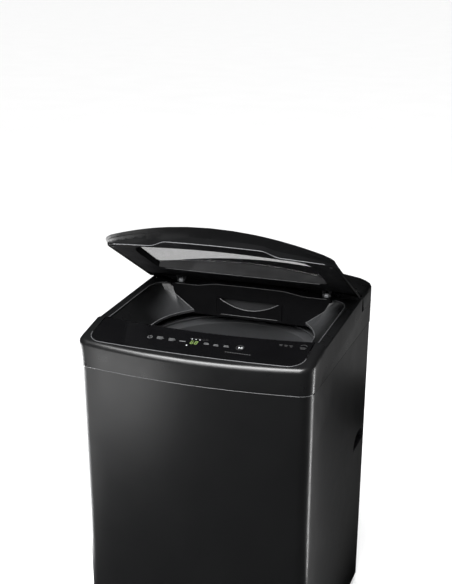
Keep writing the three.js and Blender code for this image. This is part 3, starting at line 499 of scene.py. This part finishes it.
def console_marks():
    """Generic touch marks and a two-digit display. They hold no lettering."""
    grey = ring_parts(-0.129, -0.253, 0.0058, 0.0009, 120, 420)
    grey.append(bar(-0.129, -0.2478, 0.001, 0.005))
    for x, y in ((-0.102, -0.252), (-0.069, -0.253)):
        grey += [bar(x - 0.001, y + 0.0045, 0.0155, 0.0012), bar(x + 0.001, y, 0.0185, 0.0012)]
        grey.append(bar(x, y - 0.0045, 0.0135, 0.001))
    grey.append(bar(-0.039, -0.254, 0.0165, 0.0018))
    for x, y in ((0.024, -0.252), (0.050, -0.2535), (0.077, -0.2525)):
        grey += [bar(x, y + 0.0028, 0.0115, 0.0013), bar(x + 0.001, y - 0.0016, 0.014, 0.0013)]
    plates("console_marks", grey, mark_grey)
    white = [dot(x, -0.239, 0.0014) for x in (-0.0185, -0.008, 0.0025)]
    white.append(dot(-0.022, -0.269, 0.0018))
    white.append([(0.1095, -0.2545), (0.1145, -0.2505), (0.1095, -0.2465)])
    white += [bar(0.1165, -0.2505, 0.0011, 0.0075), bar(0.119, -0.2505, 0.0011, 0.0075)]
    plates("console_bright_marks", white, mark_white)
    dim = ring_parts(0.113, -0.250, 0.0098, 0.0007)
    for i in range(11):
        dim.append(bar(0.085 + i * 0.0062, -0.2755, 0.0042, 0.0022))
    for x in (0.208, 0.221, 0.234):
        dim += [bar(x, -0.214, 0.009, 0.0012), bar(x + 0.001, -0.2185, 0.006, 0.0011)]
    dim += ring_parts(0.2655, -0.212, 0.0085, 0.001, 20, 160, 10)
    dim += [bar(0.2655, -0.2165, 0.016, 0.0014), bar(0.2655, -0.2215, 0.012, 0.0013)]
    plates("console_faint_marks", dim, mark_dim)
    lit = digit(-0.0135, -0.2535, 0.0062, 0.0125, ("t", "ul", "m", "lr", "b", "ll"))
    lit += digit(-0.0025, -0.2535, 0.0062, 0.0125, ("t", "ul", "ur", "m", "ll", "lr", "b"))
    plates("display_digits", lit, mark_green, 0.0006)


def crown(x):
    """How far the lid's front edge bows forward at x, from 0 at its corners to 1 in the middle."""
    return 1 - min(abs(x) / 0.314, 1.0) ** 2


def grip_share(x):
    """1 over the lid's middle grip, 0 outside it, with a smooth change between."""
    t = min(max((0.182 - abs(x)) / 0.054, 0.0), 1.0)
    return t * t * (3 - 2 * t)


def opened(point):
    """A point of the closed lid, where it is in the stored pose."""
    turn = Matrix.Rotation(-LID_REST, 3, "X")
    return HINGE + turn @ (Vector(point) - HINGE)


def skirt_edge(x):
    """The lower front edge of the closed lid's skirt."""
    share = grip_share(x)
    y = -0.1656 - 0.033 * crown(x) - 0.011 * share ** 2
    z = rim_z(y) + 0.0012 + 0.010 * share
    return (x, y, z)


def rod_along(name, points, radius, material, body, count=8):
    """A thin round bead that follows points."""
    work = bmesh.new()
    rings = []
    for i, point in enumerate(points):
        ahead = points[min(i + 1, len(points) - 1)] - points[max(i - 1, 0)]
        side = ahead.normalized().cross(Vector((0, 0, 1))).normalized()
        up = side.cross(ahead.normalized())
        ring = []
        for k in range(count):
            a = 2 * math.pi * k / count
            ring.append(work.verts.new(point + side * radius * math.cos(a) + up * radius * math.sin(a)))
        rings.append(ring)
    for first, second in zip(rings, rings[1:]):
        for k in range(count):
            j = (k + 1) % count
            work.faces.new((first[k], first[j], second[j], second[k]))
    work.faces.new(list(reversed(rings[0])))
    work.faces.new(rings[-1])
    bmesh.ops.recalc_face_normals(work, faces=work.faces)
    add_piece(name, mesh_from(work, name, 50), material, body)


def lid_bead():
    """The bead along the lower edge of the lid's skirt; its light grey paints the edge's highlight."""
    half_length, steps = 0.288, 96
    points = []
    for i in range(steps + 1):
        x, y, z = skirt_edge(half_length * (2 * i / steps - 1))
        points.append(opened((x, y - 0.0004, z + 0.0012)))
    rod_along("lid_skirt_highlight_bead", points, 0.0009, skirt_highlight_paint, "lid")


def seam_lips():
    """A bead along the front seam whose light grey paints the seam edge's highlight, and a dark strip in the
    seam of each side that paints the gap's shade.
    """
    shell = [v.co for v in nodes["cabinet_shell"].data.vertices if v.co.z > CABINET_TOP - 0.0005]

    def is_outer(p):
        return not any((q - p).length < 0.003 and q.length > p.length + 0.0004 for q in shell)

    outer = [p for p in shell if is_outer(p)]
    around = sorted(outer, key=lambda p: math.atan2(p.x, -p.y))
    seam = [Vector((p.x * 0.9995, p.y * 0.9995, p.z - 0.0006)) for p in around if p.y < -0.2]
    rod_along("seam_highlight_lip", seam, 0.0006, lip_highlight_paint, "cabinet", 6)
    # dark strips that paint the shade in the gaps of the side seams
    for label, side in (("left", -1), ("right", 1)):
        strip = [Vector((side * 0.3146, y, CABINET_TOP - 0.0001)) for y in (-0.285, 0.3)]
        rod_along(f"seam_shade_strip_{label}", strip, 0.0013, looks["dark_plastic"], "cabinet")


def console_lip():
    """The thin lip that runs round the front of the console's trim; its grey paints the trim edge's
    highlight.
    """
    trim = [v.co for v in nodes["console_trim"].data.vertices if v.co.z - console_z(v.co.y) > 0.0006]
    middle = Vector((0, -0.2, 0.97))

    def reach(p):
        return (p - middle).length

    def is_outer(p):
        return not any((q - p).length < 0.004 and reach(q) > reach(p) + 0.0003 for q in trim)

    rim = [p for p in trim if p.y < -0.235 and is_outer(p)]
    rim = sorted(rim, key=lambda p: math.atan2(p.x, -p.y - 0.2))
    line = [Vector((p.x, p.y + 0.0004, p.z - 0.0002)) for p in rim]
    rod_along("console_trim_highlight_lip", line, 0.0008, rim_highlight_paint, "cabinet", 6)


def drawer_lips():
    """The curved lip and the lining of the drawer's finger grip, and the edge at the drawer's foot; both lips
    are grey beads that paint the edges' highlights.
    """
    dip = [Vector((x * 0.0088, 0.1403, 0.919 + 0.027 * (x / 10) ** 2)) for x in range(-10, 11)]
    rod_along("drawer_grip_highlight_lip", dip, 0.0009, lip_highlight_paint, "drawer", 6)
    foot = [Vector((x * 0.0085, SLOPE_Y, 0.9)) for x in range(-10, 11)]
    rod_along("drawer_foot_highlight_lip", foot, 0.0007, rim_highlight_paint, "drawer", 6)
    work = bmesh.new()
    add_box(work, (0, 0.1605, 0.9295), (0.171, 0.0006, 0.03))
    mesh = mesh_from(work, "drawer_grip_lining")
    add_piece("drawer_grip_lining", mesh, grip_lining, "drawer")


def opening_lips():
    """Lips on the dispenser wall, the lid's window and both sides of the loading opening; their grey paints
    the highlights of those edges.
    """
    half = [(0.0, 0.988), (0.094, 0.9875), (0.112, 0.986), (0.152, 0.979), (0.17, 0.978), (0.226, 0.978)]
    ridge = [(-x, z) for x, z in reversed(half[1:])] + half
    wall = [Vector((x, 0.1414, z - 0.0003)) for x, z in ridge]
    rod_along("dispenser_top_highlight_lip", wall, 0.0008, rim_highlight_paint, "cabinet", 6)

    window = [Vector((x * 0.0225, 0.0722, 1.0409)) for x in range(-10, 11)]
    rod_along("lid_window_highlight_lip", window, 0.0007, rim_highlight_paint, "lid", 6)

    edge = [(0.288, y) for y in (-0.165, -0.11, -0.03, 0.05)]
    edge += [(0.2875, 0.098), (0.281, 0.12), (0.266, 0.135), (0.25, 0.1415)]
    for label, side in (("left", -1), ("right", 1)):
        brim = [Vector((side * (x + 0.001), y, rim_z(y) + 0.0003)) for x, y in edge]
        rod_along(f"opening_highlight_lip_{label}", brim, 0.0008, rim_highlight_paint, "cabinet", 6)


def funnel_lips():
    """The lip down each rear slope of the funnel and on round its mouth; its pale grey paints the edge's
    highlight.
    """
    slope = [(0.2355, 0.961), (0.2303, 0.9487), (0.2119, 0.934), (0.1949, 0.9213), (0.1748, 0.9066)]
    slope.append((0.169, 0.9034))
    mouth_radius, start = 0.2288, math.atan2(0.1544, 0.169)
    for label, side in (("left", -1), ("right", 1)):
        wing = [Vector((side * x, SLOPE_Y, z + 0.0006)) for x, z in slope]
        for i in range(1, 15):
            a = start - i * math.radians(4.2)
            across, back = mouth_radius * math.cos(a), mouth_radius * math.sin(a)
            wing.append(Vector((side * across, AXIS_Y + back, 0.9036)))
        rod_along(f"funnel_highlight_lip_{label}", wing, 0.0009, lip_highlight_paint, "cabinet", 6)


def screw(name, place, radius):
    """A pan-head screw with a raised cross, its head to the rear."""
    work = bmesh.new()
    bmesh.ops.create_cone(
        work, cap_ends=True, segments=20, radius1=radius, radius2=radius * 0.72, depth=radius * 0.5
    )
    for turn in (0, 90):
        slot = bmesh.ops.create_cube(work, size=1.0)["verts"]
        bmesh.ops.scale(work, vec=(radius * 1.1, radius * 0.2, radius * 0.12), verts=slot)
        bmesh.ops.rotate(work, cent=(0, 0, 0), matrix=Matrix.Rotation(math.radians(turn), 3, "Z"), verts=slot)
        bmesh.ops.translate(work, vec=(0, 0, radius * 0.22), verts=slot)
    aim = Vector((0, 0, 1)).rotation_difference(REARWARD).to_matrix().to_4x4()
    bmesh.ops.transform(work, matrix=Matrix.Translation(Vector(place)) @ aim, verts=work.verts)
    add_piece(name, mesh_from(work, name, 30), looks["zinc_steel"], "cabinet")


def rear_details():
    """The screws of the rear panel, and three in the cover's rear wall."""
    panel = [(x, z) for z in (0.10, 0.28, 0.47, 0.66, 0.83) for x in (-0.275, 0.275)]
    panel += [(x, 0.105) for x in (-0.16, 0.0, 0.16)]
    for count, (x, z) in enumerate(panel, 1):
        screw(f"rear_screw_{count}", (x, 0.3156, z), 0.0045)
    for count, x in enumerate((-0.28, 0.06, 0.28), len(panel) + 1):
        screw(f"cover_screw_{count}", (x, 0.3184, 0.905), 0.004)


def nozzle_threads():
    """Ridges of the hose threads on both inlet nozzles."""
    root, crest, flank = 0.0128, 0.0139, 0.0009
    lying = Matrix.Rotation(math.radians(-90), 3, "X")
    for label, x in (("hot", -0.12), ("cold", -0.06)):
        work = bmesh.new()
        for i in range(5):
            before = set(work.verts)
            for low, high, rise in ((root, crest, 0), (crest, root, flank)):
                bmesh.ops.create_cone(
                    work, cap_ends=False, segments=28, radius1=low, radius2=high, depth=flank,
                    matrix=Matrix.Translation((0, 0, rise)),
                )
            fresh = [v for v in work.verts if v not in before]
            bmesh.ops.rotate(work, cent=(0, 0, 0), matrix=lying, verts=fresh)
            bmesh.ops.translate(work, vec=(x, 0.3215 + 0.0026 * i, 0.905), verts=fresh)
        mesh = mesh_from(work, f"{label}_thread", 30)
        add_piece(f"{label}_nozzle_thread", mesh, looks["white_plastic"], "cabinet")


def rating_plate():
    """A pale plate on the back, with a few dim lines and no lettering."""

    def wall(name, parts, material, slot_name, y):
        work = bmesh.new()
        for x0, x1, z0, z1 in parts:
            add_box(work, ((x0 + x1) / 2, y, (z0 + z1) / 2), (x1 - x0, 0.0004, z1 - z0))
        add_piece(name, mesh_from(work, name), material, "cabinet")

    wall("rating_plate", [(0.12, 0.21, 0.745, 0.8)], looks["white_plastic"], "white_plastic", 0.31795)
    lines = []
    for i in range(5):
        foot = 0.752 + 0.0085 * i
        lines.append((0.128, 0.198 - 0.012 * (i % 3), foot, foot + 0.0025))
    wall("rating_plate_lines", lines, mark_dim, "dark_plastic", 0.3182)


console_marks()
lid_bead()
seam_lips()
console_lip()
drawer_lips()
opening_lips()
funnel_lips()
rear_details()
nozzle_threads()
rating_plate()


# ---- stage, light and camera --------------------------------------------------------------------
def make_floor():
    reach = 60
    corners = [(-reach, -reach, 0), (reach, -reach, 0), (reach, reach, 0), (-reach, reach, 0)]
    mesh = bpy.data.meshes.new("floor")
    mesh.from_pydata(corners, [], [(0, 1, 2, 3)])
    floor = bpy.data.objects.new("floor", mesh)
    bpy.context.scene.collection.objects.link(floor)
    mesh.materials.append(
        make_material("pale_floor", (0.86, 0.86, 0.86), 0.7, 0.0, 0.01, 0.03, 300, 0.01, 1.5, specular=0.2)
    )
    floor.visible_glossy = False


def area_light(name, place, target, size, power):
    data = bpy.data.lights.new(name, "AREA")
    data.shape = "RECTANGLE"
    data.size, data.size_y = size
    data.energy = power
    light = bpy.data.objects.new(name, data)
    bpy.context.scene.collection.objects.link(light)
    light.location = place
    light.rotation_euler = (Vector(target) - Vector(place)).to_track_quat("-Z", "Y").to_euler()
    light.visible_camera = False


def make_light():
    """A white surround, which glossy finishes don't mirror, and soft boxes, which they do."""
    world = bpy.data.worlds.new("studio")
    bpy.context.scene.world = world
    world.use_nodes = True
    background = world.node_tree.nodes["Background"]
    background.inputs["Color"].default_value = (1, 1, 1, 1)
    background.inputs["Strength"].default_value = 1.25
    world.cycles_visibility.glossy = False
    area_light("right_floor_glow", (0.62, 0.6, 0.004), (0.62, 0.61, 1.0), (0.5, 1.7), 0.22)
    area_light("front_high_box", (-0.3, -2.2, 2.4), (0, -0.33, 0.96), (2.2, 0.9), 44)
    area_light("top_front_box", (-0.25, -1.15, 2.7), (0, -0.3, 0.9), (2.0, 0.95), 120)
    area_light("front_left_box", (-0.95, -1.3, 0.55), (-0.25, -0.33, 0.8), (0.7, 0.7), 4.5)
    area_light("left_box", (-0.82, -0.14, 0.39), (-0.31, -0.3, 0.39), (0.55, 0.76), 20)
    area_light("right_strip", (0.765, 0.07, 0.5), (0.3, -0.3, 0.5), (0.06, 0.98), 3.6)
    area_light("rear_right_box", (0.85, 1.9, 0.3), (0.31, 0.1, 0.6), (1.0, 0.5), 0.3)
    area_light("lid_window_fill", (-0.12, 0.06, 1.06), (0.0, 0.16, 0.9), (0.3, 0.1), 0.12)


def make_camera():
    data = bpy.data.cameras.new("camera")
    camera = bpy.data.objects.new("camera", data)
    bpy.context.scene.collection.objects.link(camera)
    yaw, pitch = math.radians(20.477), math.radians(21.806)
    aim = Vector((-math.sin(yaw) * math.cos(pitch), math.cos(yaw) * math.cos(pitch), -math.sin(pitch)))
    camera.location = (0.9209, -2.5116, 1.8482)
    camera.rotation_euler = aim.to_track_quat("-Z", "Y").to_euler()
    data.sensor_width = 36
    data.lens = 63.88
    data.shift_y = 0.1404
    bpy.context.scene.camera = camera


make_floor()
make_light()
make_camera()
bpy.context.scene.view_settings.view_transform = "Standard"
